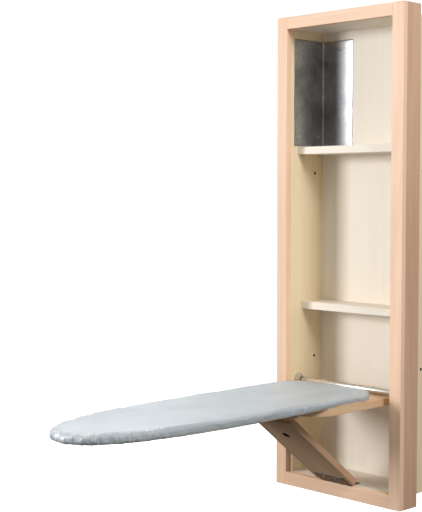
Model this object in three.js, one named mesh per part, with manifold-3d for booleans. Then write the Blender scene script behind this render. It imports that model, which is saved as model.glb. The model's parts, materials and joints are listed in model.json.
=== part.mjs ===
// In-wall fold-down ironing board cabinet: a tall shallow cupboard let into a wall, with a padded board
// that swings down on a steel rod and rests on a hinged wooden leg.
// Millimetres, +X right seen from the room, +Y into the wall, +Z up.
// The origin is the centre of the back panel's rear face.
import * as THREE from "three";
import { mergeVertices } from "three/addons/utils/BufferGeometryUtils.js";
import Module from "manifold-3d";

const wasm = await Module();
wasm.setup();

// ---------- Driving dimensions ----------
// Face frame, seen from the room
const CABINET_WIDTH = 520;
const CABINET_HEIGHT = 1562;
const STILE_WIDTH = 44;
const TOP_RAIL = 40;
const BOTTOM_RAIL = 44;
const FRAME_THICK = 19;
// Surround that stands proud of the wall, and the box behind it
const SURROUND_DEPTH = 87;
const SURROUND_THICK = 19;
const INSIDE_DEPTH = 183;
const PANEL_THICK = 15;
const BACK_THICK = 6;
// Shelves
const SHELF_THICK = 25;
const SHELF_PLAY = 0.5;
const UPPER_SHELF_TOP = 1136;
const UPPER_SHELF_FRONT = 56;
const LOWER_SHELF_TOP = 616;
const LOWER_SHELF_FRONT = 78;
const SHELF_PIN_RADIUS = 2.5;
const SHELF_PIN_BURIED = 8;
const SHELF_PIN_SHOWN = 8;
const SHELF_PIN_INSET = 22;
// Holes for the screws that fix the box to the wall studs
const STUD_HOLE_RADIUS = 4.5;
const STUD_HOLE_DEPTH = 142;
const STUD_HOLE_HEIGHTS = [425, 1049];
// Iron rest: sheet metal bent into the left rear corner above the upper shelf
const IRON_PLATE_THICK = 1;
const IRON_PLATE_FRONT = 36;
const IRON_PLATE_BACK_WIDTH = 130;
const IRON_PLATE_HEIGHT = 356;
const IRON_PLATE_LIFT = 2.5;
const IRON_SCREW_DEPTHS = [56, 157];
const IRON_SCREW_INSET = 34;
const IRON_SCREW_LENGTH = 12;
// Pivot rod and its sockets
const ROD_DEPTH = 64;
const ROD_HEIGHT = 352;
const ROD_RADIUS = 11;
const ROD_WALL = 1.5;
const ROD_END_PLAY = 2;
const SOCKET_PLAY = 0.4;
const SOCKET_FLANGE_RADIUS = 22;
const SOCKET_FLANGE_THICK = 3;
const SOCKET_COLLAR_RADIUS = 14.5;
const SOCKET_DEPTH = 14;
const SOCKET_SCREW_CIRCLE = 18.2;
const SOCKET_SCREW_LENGTH = 14;
// Battens that carry the sockets
const CLEAT_THICK = 12;
const CLEAT_REAR = 72;
const CLEAT_PLAY = 0.5;
const CLEAT_SCREW_INSET = 50;
const CLEAT_SCREW_LENGTH = 24;
// Ironing board, measured from the rod axis
const BOARD_REACH = 1166;
const BOARD_HEEL = 60;
const BOARD_WIDTH = 366;
const BOARD_TAPER_START = 0.45;
const BOARD_NOSE_POWER = 2.4;
const BOARD_HEEL_RADIUS = 95;
const CORE_THICK = 18;
const PAD_THICK = 6.5;
const PAD_GAP = 0.5;
const COVER_THICK = 1.5;
const COVER_HEM = 12;
const COVER_HEM_DROP = 2.5;
// Mounting plate under the board
const PLATE_THICK = 22;
const PLATE_WIDTH = 374;
const PLATE_REAR = 30;
const PLATE_FRONT = 380;
const PLATE_CORNER_RADIUS = 110;
const ROD_SCREW_X = [-100, 105];
const ROD_SCREW_BITE = 12;
const BOARD_SCREW_X = 110;
const BOARD_SCREW_Y = [-110, -240];
const BOARD_SCREW_LENGTH = 34;
// Stop block that the leg's top end bears on
const STOP_THICK = 18;
const STOP_NOTCH = 5;
const STOP_WIDTH = 172;
const STOP_REAR_LENGTH = 16;
const STOP_LIP_LENGTH = 24;
// Leg and its butt hinge; the leg is described standing upright
const HINGE_DEPTH = 5;
const BARREL_RADIUS = 4;
const PIN_RADIUS = 2;
const PIN_PLAY = 0.3;
const LEAF_THICK = 2;
const LEAF_HALF = 62;
const LEAF_REACH = 50;
const BARREL_SPLIT = 28;
const LEG_WIDTH = 160;
const LEG_THICK = 21;
const LEG_FOOT = 5;
const LEG_TOP = 392;
const LEG_SEAT_GAP = 0.5;
const FINGER_HOLE_RADIUS = 12.5;
const FINGER_HOLE_HEIGHT = 303;
const LEAF_SCREW_X = 24;
const LEAF_SCREW_REACH = 39;
const LEAF_SCREW_LENGTH = 12;
// Fasteners: one pan-head screw in two sizes
const SMALL_SCREW = { head: 3.6, rise: 2.1, shank: 1.6 };
const LARGE_SCREW = { head: 4.6, rise: 2.6, shank: 2.2 };
const SCREW_SEAT_GAP = 0.3;
const SCREW_HOLE_PLAY = 0.35;
const HOLE_END_PLAY = 1;
const CROWN_SHARE = { radius: 0.85, rise: 0.7 };
// Facets
const ROUND_SEGMENTS = 32;
const SMALL_SEGMENTS = 12;
const NOSE_SEGMENTS = 28;

// ---------- Derived dimensions ----------
const HALF_WIDTH = CABINET_WIDTH / 2;
const HALF_OPENING = HALF_WIDTH - STILE_WIDTH;
const HALF_BOX = HALF_OPENING + PANEL_THICK;
const CEILING = CABINET_HEIGHT - TOP_RAIL;
const TOTAL_DEPTH = INSIDE_DEPTH + BACK_THICK;
const PLATE_TOP = -ROD_RADIUS;
const PLATE_BOTTOM = PLATE_TOP - PLATE_THICK;
const CORE_TOP = PLATE_TOP + CORE_THICK;
const COVER_WALL = COVER_THICK + PAD_GAP;
const COVER_TOP = CORE_TOP + PAD_THICK + PAD_GAP + COVER_THICK;
const STOP_BOTTOM = PLATE_BOTTOM - STOP_THICK;
const HINGE_HEIGHT = BOTTOM_RAIL + BARREL_RADIUS;
const LEG_OUTER = LEAF_THICK - BARREL_RADIUS;
const LEG_INNER = LEG_OUTER + LEG_THICK;
const ROD_SCREW_LENGTH = 2 * ROD_RADIUS + ROD_SCREW_BITE;

// ---------- Materials ----------
function finish(color, roughness, metalness = 0) {
  return new THREE.MeshStandardMaterial({ color, roughness, metalness });
}
const FRAME_WOOD = finish(0xe8c6a6, 0.6);
const PANEL_WOOD = finish(0xeadfca, 0.65);
const LEG_WOOD = finish(0xc9a98a, 0.6);
const SHEET_METAL = finish(0x8d9094, 0.35, 1);
const POLISHED_STEEL = finish(0xe4e4e2, 0.15, 1);
const DULL_STEEL = finish(0xa9a39a, 0.4, 1);
const FOAM = finish(0xe9e6dc, 0.95);
const SILVER_CLOTH = finish(0xc3c8cb, 0.5, 0.3);

// ---------- Solid helpers ----------
function toSolid(geometry) {
  const bare = geometry.clone();
  bare.deleteAttribute("normal");
  bare.deleteAttribute("uv");
  const merged = mergeVertices(bare, 1e-4);
  const mesh = new wasm.Mesh({
    numProp: 3,
    vertProperties: new Float32Array(merged.attributes.position.array),
    triVerts: new Uint32Array(merged.index.array),
  });
  return new wasm.Manifold(mesh);
}

function toGeometry(solid) {
  const mesh = solid.getMesh();
  const geometry = new THREE.BufferGeometry();
  geometry.setAttribute("position", new THREE.BufferAttribute(mesh.vertProperties, 3));
  geometry.setIndex(new THREE.BufferAttribute(mesh.triVerts, 1));
  geometry.computeVertexNormals();
  return geometry;
}

function boxBetween([x0, x1], [y0, y1], [z0, z1]) {
  const geometry = new THREE.BoxGeometry(x1 - x0, y1 - y0, z1 - z0);
  return geometry.translate((x0 + x1) / 2, (y0 + y1) / 2, (z0 + z1) / 2);
}

// A flat shape drawn in X and Y, standing from one height to another.
function slab(shape, bottom, top) {
  const options = { depth: top - bottom, bevelEnabled: false, curveSegments: SMALL_SEGMENTS };
  return new THREE.ExtrudeGeometry(shape, options).translate(0, 0, bottom);
}

// A cylinder that starts at a point and runs along a direction.
function rodFrom(start, direction, radius, length, segments = SMALL_SEGMENTS) {
  const geometry = new THREE.CylinderGeometry(radius, radius, length, segments);
  geometry.translate(0, length / 2, 0);
  return turned(geometry, start, direction);
}

// Moves a geometry built around +Y from the origin so that it runs along a direction from a point.
function turned(geometry, start, direction) {
  const turn = new THREE.Quaternion().setFromUnitVectors(new THREE.Vector3(0, 1, 0), direction);
  return geometry.applyQuaternion(turn).translate(start.x, start.y, start.z);
}

// A ring between two radii, turned about +Y, given as (radius, height) pairs of its closed outline.
function ring(outline, segments = ROUND_SEGMENTS) {
  const points = outline.map(([radius, height]) => new THREE.Vector2(radius, height));
  return new THREE.LatheGeometry([...points, points[0]], segments);
}

function drilled(geometry, holes) {
  let solid = toSolid(geometry);
  for (const { start, direction, radius, length, segments } of holes) {
    solid = solid.subtract(toSolid(rodFrom(start, direction, radius, length, segments)));
  }
  return toGeometry(solid);
}

function node(parent, name, material, geometry) {
  const mesh = new THREE.Mesh(geometry, material);
  mesh.name = name;
  parent.add(mesh);
  return mesh;
}

// ---------- Fasteners ----------
const AXIS = {
  right: new THREE.Vector3(1, 0, 0),
  left: new THREE.Vector3(-1, 0, 0),
  inward: new THREE.Vector3(0, 1, 0),
  outward: new THREE.Vector3(0, -1, 0),
  up: new THREE.Vector3(0, 0, 1),
  down: new THREE.Vector3(0, 0, -1),
};

function screwGeometry(size, length) {
  const profile = [
    new THREE.Vector2(0, -length),
    new THREE.Vector2(size.shank, 2 * size.shank - length),
    new THREE.Vector2(size.shank, 0),
    new THREE.Vector2(size.head, 0),
    new THREE.Vector2(size.head * CROWN_SHARE.radius, size.rise * CROWN_SHARE.rise),
    new THREE.Vector2(0, size.rise),
  ];
  return new THREE.LatheGeometry(profile, SMALL_SEGMENTS);
}

// A screw whose head sits on the surface at a seat point, facing along a direction.
function addScrew(parent, name, size, length, seat, facing) {
  const start = seat.clone().addScaledVector(facing, SCREW_SEAT_GAP);
  return node(parent, name, DULL_STEEL, turned(screwGeometry(size, length), start, facing));
}

// The hole that such a screw needs in everything it passes through.
function screwHole(size, length, seat, facing) {
  return {
    start: seat.clone().addScaledVector(facing, HOLE_END_PLAY),
    direction: facing.clone().negate(),
    radius: size.shank + SCREW_HOLE_PLAY,
    length: length + 2 * HOLE_END_PLAY,
  };
}

// ---------- Cabinet ----------
const SIDES = [
  { name: "left", sign: -1, facing: AXIS.right },
  { name: "right", sign: 1, facing: AXIS.left },
];

function spanX(sign, near, far) {
  return sign < 0 ? [-far, -near] : [near, far];
}

function addFaceFrame(parent) {
  for (const { name, sign } of SIDES) {
    const stile = boxBetween(spanX(sign, HALF_OPENING, HALF_WIDTH), [0, FRAME_THICK], [0, CABINET_HEIGHT]);
    node(parent, `${name}_stile`, FRAME_WOOD, stile);
  }
  const rails = [
    ["top_rail", [CEILING, CABINET_HEIGHT]],
    ["bottom_rail", [0, BOTTOM_RAIL]],
  ];
  for (const [name, heights] of rails) {
    node(parent, name, FRAME_WOOD, boxBetween([-HALF_OPENING, HALF_OPENING], [0, FRAME_THICK], heights));
  }
}

function addSurround(parent) {
  const depths = [FRAME_THICK, SURROUND_DEPTH];
  const inner = HALF_WIDTH - SURROUND_THICK;
  for (const { name, sign } of SIDES) {
    const board = boxBetween(spanX(sign, inner, HALF_WIDTH), depths, [0, CABINET_HEIGHT]);
    node(parent, `surround_${name}`, FRAME_WOOD, board);
  }
  const lids = [
    ["surround_top", [CABINET_HEIGHT - SURROUND_THICK, CABINET_HEIGHT]],
    ["surround_bottom", [0, SURROUND_THICK]],
  ];
  for (const [name, heights] of lids) {
    node(parent, name, FRAME_WOOD, boxBetween([-inner, inner], depths, heights));
  }
}

function wallPoint(sign, proud, depth, height) {
  return new THREE.Vector3(sign * (HALF_OPENING - proud), depth, height);
}

// Seats of the screws on one side wall, grouped by the piece that they hold.
function ironScrewSeats() {
  const bottom = UPPER_SHELF_TOP + IRON_PLATE_LIFT + IRON_SCREW_INSET;
  const top = UPPER_SHELF_TOP + IRON_PLATE_LIFT + IRON_PLATE_HEIGHT - IRON_SCREW_INSET / 2;
  const seats = [];
  for (const depth of IRON_SCREW_DEPTHS) {
    for (const height of [bottom, top]) {
      seats.push(wallPoint(-1, IRON_PLATE_THICK, depth, height));
    }
  }
  return seats;
}

function socketScrewSeats(sign) {
  return [-SOCKET_SCREW_CIRCLE, SOCKET_SCREW_CIRCLE].map((offset) =>
    wallPoint(sign, SOCKET_FLANGE_THICK, ROD_DEPTH + offset, ROD_HEIGHT),
  );
}

function cleatTop() {
  return ROD_HEIGHT - SOCKET_FLANGE_RADIUS - CLEAT_PLAY;
}

function cleatScrewSeats(sign) {
  const depth = (FRAME_THICK + CLEAT_REAR) / 2;
  return [BOTTOM_RAIL + CLEAT_SCREW_INSET, cleatTop() - CLEAT_SCREW_INSET].map((height) =>
    wallPoint(sign, CLEAT_THICK, depth, height),
  );
}

function shelfPinPlaces() {
  const places = [];
  const shelves = [
    ["upper", UPPER_SHELF_TOP, UPPER_SHELF_FRONT],
    ["lower", LOWER_SHELF_TOP, LOWER_SHELF_FRONT],
  ];
  for (const [shelf, top, front] of shelves) {
    const height = top - SHELF_THICK - SHELF_PIN_RADIUS - SHELF_PLAY;
    places.push({ name: `${shelf}_front`, depth: front + SHELF_PIN_INSET, height });
    places.push({ name: `${shelf}_rear`, depth: INSIDE_DEPTH - SHELF_PIN_INSET, height });
  }
  return places;
}

function sideWallHoles({ sign, facing }) {
  const out = facing.clone().negate();
  const holes = STUD_HOLE_HEIGHTS.map((height) => ({
    start: wallPoint(sign, HOLE_END_PLAY, STUD_HOLE_DEPTH, height),
    direction: out,
    radius: STUD_HOLE_RADIUS,
    length: PANEL_THICK + 2 * HOLE_END_PLAY,
    segments: ROUND_SEGMENTS,
  }));
  for (const { depth, height } of shelfPinPlaces()) {
    holes.push({
      start: wallPoint(sign, HOLE_END_PLAY, depth, height),
      direction: out,
      radius: SHELF_PIN_RADIUS + SCREW_HOLE_PLAY,
      length: SHELF_PIN_BURIED + 2 * HOLE_END_PLAY,
    });
  }
  for (const seat of socketScrewSeats(sign)) {
    holes.push(screwHole(SMALL_SCREW, SOCKET_SCREW_LENGTH, seat, facing));
  }
  for (const seat of cleatScrewSeats(sign)) {
    holes.push(screwHole(SMALL_SCREW, CLEAT_SCREW_LENGTH, seat, facing));
  }
  if (sign < 0) {
    for (const seat of ironScrewSeats()) {
      holes.push(screwHole(SMALL_SCREW, IRON_SCREW_LENGTH, seat, facing));
    }
  }
  return holes;
}

function addBox(parent) {
  const depths = [FRAME_THICK, INSIDE_DEPTH];
  const heights = [BOTTOM_RAIL - PANEL_THICK, CEILING + PANEL_THICK];
  const across = [-HALF_OPENING, HALF_OPENING];
  for (const side of SIDES) {
    const wall = boxBetween(spanX(side.sign, HALF_OPENING, HALF_BOX), depths, heights);
    node(parent, `${side.name}_side_panel`, PANEL_WOOD, drilled(wall, sideWallHoles(side)));
  }
  node(parent, "top_panel", PANEL_WOOD, boxBetween(across, depths, [CEILING, heights[1]]));
  const floor = boxBetween(across, depths, [heights[0], BOTTOM_RAIL]);
  node(parent, "bottom_panel", PANEL_WOOD, drilled(floor, floorLeafHoles()));
  const back = boxBetween([-HALF_BOX, HALF_BOX], [INSIDE_DEPTH, TOTAL_DEPTH], heights);
  node(parent, "back_panel", PANEL_WOOD, back);
}

function addShelves(parent) {
  const across = [SHELF_PLAY - HALF_OPENING, HALF_OPENING - SHELF_PLAY];
  const shelves = [
    ["upper_shelf", UPPER_SHELF_TOP, UPPER_SHELF_FRONT],
    ["lower_shelf", LOWER_SHELF_TOP, LOWER_SHELF_FRONT],
  ];
  for (const [name, top, front] of shelves) {
    const depths = [front, INSIDE_DEPTH - SHELF_PLAY];
    node(parent, name, PANEL_WOOD, boxBetween(across, depths, [top - SHELF_THICK, top]));
  }
  const length = SHELF_PIN_BURIED + SHELF_PIN_SHOWN;
  for (const { name: side, sign, facing } of SIDES) {
    for (const { name, depth, height } of shelfPinPlaces()) {
      const start = wallPoint(sign, -SHELF_PIN_BURIED, depth, height);
      const pin = rodFrom(start, facing, SHELF_PIN_RADIUS, length);
      node(parent, `shelf_pin_${name}_${side}`, DULL_STEEL, pin);
    }
  }
}

function addIronRest(parent) {
  const bottom = UPPER_SHELF_TOP + IRON_PLATE_LIFT;
  const heights = [bottom, bottom + IRON_PLATE_HEIGHT];
  const left = -HALF_OPENING;
  const wallLeaf = boxBetween([left, left + IRON_PLATE_THICK], [IRON_PLATE_FRONT, INSIDE_DEPTH], heights);
  const backDepths = [INSIDE_DEPTH - IRON_PLATE_THICK, INSIDE_DEPTH];
  const backLeaf = boxBetween([left, left + IRON_PLATE_BACK_WIDTH], backDepths, heights);
  const bent = toGeometry(toSolid(wallLeaf).add(toSolid(backLeaf)));
  const holes = ironScrewSeats().map((seat) =>
    screwHole(SMALL_SCREW, IRON_SCREW_LENGTH, seat, AXIS.right),
  );
  node(parent, "iron_rest_plate", SHEET_METAL, drilled(bent, holes));
  ironScrewSeats().forEach((seat, i) => {
    addScrew(parent, `iron_plate_screw_${i + 1}`, SMALL_SCREW, IRON_SCREW_LENGTH, seat, AXIS.right);
  });
}

function addRodSupports(parent) {
  const bore = ROD_RADIUS + SOCKET_PLAY;
  const outline = [
    [bore, 0],
    [SOCKET_FLANGE_RADIUS, 0],
    [SOCKET_FLANGE_RADIUS, SOCKET_FLANGE_THICK],
    [SOCKET_COLLAR_RADIUS, SOCKET_FLANGE_THICK],
    [SOCKET_COLLAR_RADIUS, SOCKET_DEPTH],
    [bore, SOCKET_DEPTH],
  ];
  const depths = [FRAME_THICK, CLEAT_REAR];
  for (const { name, sign, facing } of SIDES) {
    const socketSeats = socketScrewSeats(sign);
    const cleatSeats = cleatScrewSeats(sign);
    const flange = turned(ring(outline), wallPoint(sign, 0, ROD_DEPTH, ROD_HEIGHT), facing);
    const flangeHoles = socketSeats.map((seat) =>
      screwHole(SMALL_SCREW, SOCKET_SCREW_LENGTH, seat, facing),
    );
    node(parent, `rod_socket_${name}`, DULL_STEEL, drilled(flange, flangeHoles));
    const across = spanX(sign, HALF_OPENING - CLEAT_THICK, HALF_OPENING);
    const batten = boxBetween(across, depths, [BOTTOM_RAIL, cleatTop()]);
    const battenHoles = cleatSeats.map((seat) =>
      screwHole(SMALL_SCREW, CLEAT_SCREW_LENGTH, seat, facing),
    );
    node(parent, `rod_cleat_${name}`, PANEL_WOOD, drilled(batten, battenHoles));
    const sets = [
      ["socket", SOCKET_SCREW_LENGTH, socketSeats],
      ["cleat", CLEAT_SCREW_LENGTH, cleatSeats],
    ];
    for (const [set, length, seats] of sets) {
      seats.forEach((seat, i) => {
        addScrew(parent, `${set}_screw_${name}_${i + 1}`, SMALL_SCREW, length, seat, facing);
      });
    }
  }
}

// ---------- Hinge at the foot of the leg ----------
function leafScrewX() {
  return [-LEAF_SCREW_X, LEAF_SCREW_X];
}

function floorLeafSeat(x) {
  return new THREE.Vector3(x, HINGE_DEPTH + LEAF_SCREW_REACH, BOTTOM_RAIL + LEAF_THICK);
}

function floorLeafHoles() {
  return leafScrewX().map((x) => screwHole(SMALL_SCREW, LEAF_SCREW_LENGTH, floorLeafSeat(x), AXIS.up));
}

// Room for the pin, along the X axis through the origin.
function pinRoom() {
  const start = new THREE.Vector3(-LEAF_HALF, 0, 0);
  return rodFrom(start, AXIS.right, PIN_RADIUS + PIN_PLAY, 2 * LEAF_HALF);
}

// Part of the hinge barrel around the X axis through the origin.
function barrel([x0, x1]) {
  const bore = PIN_RADIUS + PIN_PLAY;
  const length = x1 - x0;
  const outline = [
    [bore, 0],
    [BARREL_RADIUS, 0],
    [BARREL_RADIUS, length],
    [bore, length],
  ];
  return turned(ring(outline, SMALL_SEGMENTS), new THREE.Vector3(x0, 0, 0), AXIS.right);
}

function addFloorLeaf(parent) {
  const root = [0, LEAF_REACH];
  const plate = boxBetween([-LEAF_HALF, LEAF_HALF], root, [-BARREL_RADIUS, LEAF_THICK - BARREL_RADIUS]);
  const clearBarrel = boxBetween(
    [-BARREL_SPLIT, BARREL_SPLIT],
    [-BARREL_RADIUS, BARREL_RADIUS + PIN_PLAY],
    [-2 * BARREL_RADIUS, BARREL_RADIUS],
  );
  let leaf = toSolid(plate).subtract(toSolid(pinRoom())).subtract(toSolid(clearBarrel));
  for (const { sign } of SIDES) {
    leaf = leaf.add(toSolid(barrel(spanX(sign, BARREL_SPLIT, LEAF_HALF))));
  }
  const geometry = toGeometry(leaf).translate(0, HINGE_DEPTH, HINGE_HEIGHT);
  node(parent, "hinge_floor_leaf", DULL_STEEL, drilled(geometry, floorLeafHoles()));
  leafScrewX().forEach((x, i) => {
    const name = `floor_leaf_screw_${i + 1}`;
    addScrew(parent, name, SMALL_SCREW, LEAF_SCREW_LENGTH, floorLeafSeat(x), AXIS.up);
  });
  const pinStart = new THREE.Vector3(-LEAF_HALF, HINGE_DEPTH, HINGE_HEIGHT);
  node(parent, "hinge_pin", POLISHED_STEEL, rodFrom(pinStart, AXIS.right, PIN_RADIUS, 2 * LEAF_HALF));
}

// ---------- Leg ----------
function legLeafSeat(x) {
  return new THREE.Vector3(x, -BARREL_RADIUS, LEAF_SCREW_REACH);
}

// How far the leg leans out from upright so that its inner top edge meets the stop block's seat.
function legLean() {
  const seat = ROD_HEIGHT + STOP_BOTTOM + STOP_NOTCH - LEG_SEAT_GAP;
  const reach = Math.hypot(LEG_INNER, LEG_TOP);
  return Math.atan2(LEG_INNER, LEG_TOP) + Math.acos((seat - HINGE_HEIGHT) / reach);
}

function buildLeg() {
  const leg = new THREE.Group();
  leg.position.set(0, HINGE_DEPTH, HINGE_HEIGHT);
  leg.rotation.x = legLean();
  const screwHoles = leafScrewX().map((x) =>
    screwHole(SMALL_SCREW, LEAF_SCREW_LENGTH, legLeafSeat(x), AXIS.outward),
  );
  const fingerHole = {
    start: new THREE.Vector3(0, LEG_OUTER - HOLE_END_PLAY, FINGER_HOLE_HEIGHT),
    direction: AXIS.inward,
    radius: FINGER_HOLE_RADIUS,
    length: LEG_THICK + 2 * HOLE_END_PLAY,
    segments: ROUND_SEGMENTS,
  };
  const panel = boxBetween(
    [-LEG_WIDTH / 2, LEG_WIDTH / 2],
    [LEG_OUTER + PIN_PLAY, LEG_INNER],
    [LEG_FOOT, LEG_TOP],
  );
  node(leg, "leg_panel", LEG_WOOD, drilled(panel, [...screwHoles, fingerHole]));
  const half = BARREL_SPLIT - PIN_PLAY;
  const plate = boxBetween([-LEAF_HALF, LEAF_HALF], [-BARREL_RADIUS, LEG_OUTER], [0, LEAF_REACH]);
  let leaf = toSolid(plate).subtract(toSolid(pinRoom()));
  for (const { sign } of SIDES) {
    const clearBarrel = boxBetween(
      spanX(sign, half, LEAF_HALF + PIN_PLAY),
      [-2 * BARREL_RADIUS, BARREL_RADIUS],
      [-BARREL_RADIUS, BARREL_RADIUS + PIN_PLAY],
    );
    leaf = leaf.subtract(toSolid(clearBarrel));
  }
  leaf = leaf.add(toSolid(barrel([-half, half])));
  node(leg, "hinge_leg_leaf", DULL_STEEL, drilled(toGeometry(leaf), screwHoles));
  leafScrewX().forEach((x, i) => {
    const name = `leg_leaf_screw_${i + 1}`;
    addScrew(leg, name, SMALL_SCREW, LEAF_SCREW_LENGTH, legLeafSeat(x), AXIS.outward);
  });
  return leg;
}

// ---------- Ironing board, with the rod axis as its origin ----------
// Outline of the board, drawn inside the full outline by an inset: a straight-sided heel with rounded
// corners, then half a superellipse for the nose.
function boardOutline(inset) {
  const half = BOARD_WIDTH / 2 - inset;
  const heel = -BOARD_HEEL - inset;
  const tip = -BOARD_REACH + inset;
  const taper = -BOARD_HEEL - (BOARD_REACH - BOARD_HEEL) * BOARD_TAPER_START;
  const corner = BOARD_HEEL_RADIUS - inset;
  const points = [];
  for (let i = 0; i <= NOSE_SEGMENTS; i += 1) {
    const angle = (i / NOSE_SEGMENTS) * Math.PI - Math.PI / 2;
    const across = Math.sin(angle);
    const x = Math.sign(across) * half * Math.abs(across) ** (2 / BOARD_NOSE_POWER);
    const y = taper + (tip - taper) * Math.max(Math.cos(angle), 0) ** (2 / BOARD_NOSE_POWER);
    points.push(new THREE.Vector2(x, y));
  }
  const shape = new THREE.Shape(points);
  shape.lineTo(half, heel - corner);
  shape.absarc(half - corner, heel - corner, corner, 0, Math.PI / 2, false);
  shape.lineTo(corner - half, heel);
  shape.absarc(corner - half, heel - corner, corner, Math.PI / 2, Math.PI, false);
  return shape;
}

// Outline of the mounting plate: square at the rod, rounded at its front corners.
function plateOutline(grow) {
  const half = PLATE_WIDTH / 2 + grow;
  const rear = PLATE_REAR + grow;
  const front = -PLATE_FRONT - grow;
  const corner = PLATE_CORNER_RADIUS;
  const shape = new THREE.Shape();
  shape.moveTo(half, rear);
  shape.lineTo(-half, rear);
  shape.lineTo(-half, front + corner);
  shape.absarc(corner - half, front + corner, corner, Math.PI, 1.5 * Math.PI, false);
  shape.lineTo(half - corner, front);
  shape.absarc(half - corner, front + corner, corner, 1.5 * Math.PI, 2 * Math.PI, false);
  return shape;
}

function rodScrewSeats() {
  return ROD_SCREW_X.map((x) => new THREE.Vector3(x, 0, ROD_RADIUS));
}

function boardScrewSeats() {
  const seats = [];
  for (const y of BOARD_SCREW_Y) {
    for (const x of [-BOARD_SCREW_X, BOARD_SCREW_X]) {
      seats.push(new THREE.Vector3(x, y, PLATE_BOTTOM));
    }
  }
  return seats;
}

function buildRod() {
  const length = 2 * (HALF_OPENING - ROD_END_PLAY);
  const outline = [
    [ROD_RADIUS - ROD_WALL, 0],
    [ROD_RADIUS, 0],
    [ROD_RADIUS, length],
    [ROD_RADIUS - ROD_WALL, length],
  ];
  const tube = turned(ring(outline), new THREE.Vector3(-length / 2, 0, 0), AXIS.right);
  return drilled(tube, rodScrewHoles());
}

function rodScrewHoles() {
  return rodScrewSeats().map((seat) => screwHole(SMALL_SCREW, ROD_SCREW_LENGTH, seat, AXIS.up));
}

// Section of the stop block in depth and height: a seat for the leg's top edge and a slanted lip that
// matches the leg's square-cut end.
function stopBlock() {
  const lean = legLean();
  const cornerY = HINGE_DEPTH - ROD_DEPTH + LEG_INNER * Math.cos(lean) - LEG_TOP * Math.sin(lean);
  const seat = STOP_BOTTOM + STOP_NOTCH;
  const slant = STOP_NOTCH / Math.tan(lean);
  const lip = cornerY - 2 * LEG_SEAT_GAP;
  const section = new THREE.Shape();
  section.moveTo(cornerY + STOP_REAR_LENGTH, PLATE_BOTTOM);
  section.lineTo(lip - STOP_LIP_LENGTH, PLATE_BOTTOM);
  section.lineTo(lip - STOP_LIP_LENGTH, STOP_BOTTOM);
  section.lineTo(lip - slant, STOP_BOTTOM);
  section.lineTo(lip, seat);
  section.lineTo(cornerY + STOP_REAR_LENGTH, seat);
  const geometry = new THREE.ExtrudeGeometry(section, { depth: STOP_WIDTH, bevelEnabled: false });
  geometry.translate(0, 0, -STOP_WIDTH / 2);
  // The section is drawn in X and Y; swing it so that it lies in Y and Z.
  const swing = new THREE.Matrix4().makeBasis(AXIS.inward, AXIS.up, AXIS.right);
  return geometry.applyMatrix4(swing);
}

function buildCover() {
  const outer = toSolid(slab(boardOutline(0), PLATE_TOP - COVER_HEM_DROP, COVER_TOP));
  const inner = toSolid(slab(boardOutline(COVER_THICK), PLATE_TOP - PAD_GAP, COVER_TOP - COVER_THICK));
  const mouth = toSolid(slab(boardOutline(COVER_HEM), PLATE_TOP - 2 * COVER_HEM_DROP, PLATE_TOP));
  const plateRoom = toSolid(slab(plateOutline(PAD_GAP), PLATE_BOTTOM, PLATE_TOP + PAD_GAP));
  return toGeometry(outer.subtract(inner).subtract(mouth).subtract(plateRoom));
}

function buildBoard() {
  const board = new THREE.Group();
  board.position.set(0, ROD_DEPTH, ROD_HEIGHT);
  const boardHoles = boardScrewSeats().map((seat) =>
    screwHole(LARGE_SCREW, BOARD_SCREW_LENGTH, seat, AXIS.down),
  );
  node(board, "pivot_rod", POLISHED_STEEL, buildRod());
  const plate = slab(plateOutline(0), PLATE_BOTTOM, PLATE_TOP);
  node(board, "mounting_plate", FRAME_WOOD, drilled(plate, [...rodScrewHoles(), ...boardHoles]));
  node(board, "leg_stop_block", FRAME_WOOD, stopBlock());
  const core = slab(boardOutline(COVER_WALL), PLATE_TOP, CORE_TOP);
  node(board, "board_core", PANEL_WOOD, drilled(core, boardHoles));
  node(board, "ironing_pad", FOAM, slab(boardOutline(COVER_WALL), CORE_TOP, CORE_TOP + PAD_THICK));
  node(board, "board_cover", SILVER_CLOTH, buildCover());
  rodScrewSeats().forEach((seat, i) => {
    addScrew(board, `rod_screw_${i + 1}`, SMALL_SCREW, ROD_SCREW_LENGTH, seat, AXIS.up);
  });
  boardScrewSeats().forEach((seat, i) => {
    addScrew(board, `board_screw_${i + 1}`, LARGE_SCREW, BOARD_SCREW_LENGTH, seat, AXIS.down);
  });
  return board;
}

// ---------- Whole object ----------
function buildCabinet() {
  const cabinet = new THREE.Group();
  addFaceFrame(cabinet);
  addSurround(cabinet);
  addBox(cabinet);
  addShelves(cabinet);
  addIronRest(cabinet);
  addRodSupports(cabinet);
  addFloorLeaf(cabinet);
  return cabinet;
}

const ironingCabinet = new THREE.Group();
ironingCabinet.position.set(0, -TOTAL_DEPTH, -CABINET_HEIGHT / 2);
ironingCabinet.add(buildCabinet(), buildBoard(), buildLeg());

export default ironingCabinet;
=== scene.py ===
"""Looks for the in-wall fold-down ironing board cabinet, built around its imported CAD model.

Everything is in metres in the row frame: +X to the right seen from the room, +Y into the wall, +Z up.
Wooden pieces are the CAD nodes themselves, with eased edges. Metal fittings, the sheet-metal iron rest and
the fabric are built here and stand for their CAD nodes.
"""

import json
import math
import random

import bmesh
import bpy
import numpy as np
from mathutils import Matrix, Vector, noise

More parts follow.
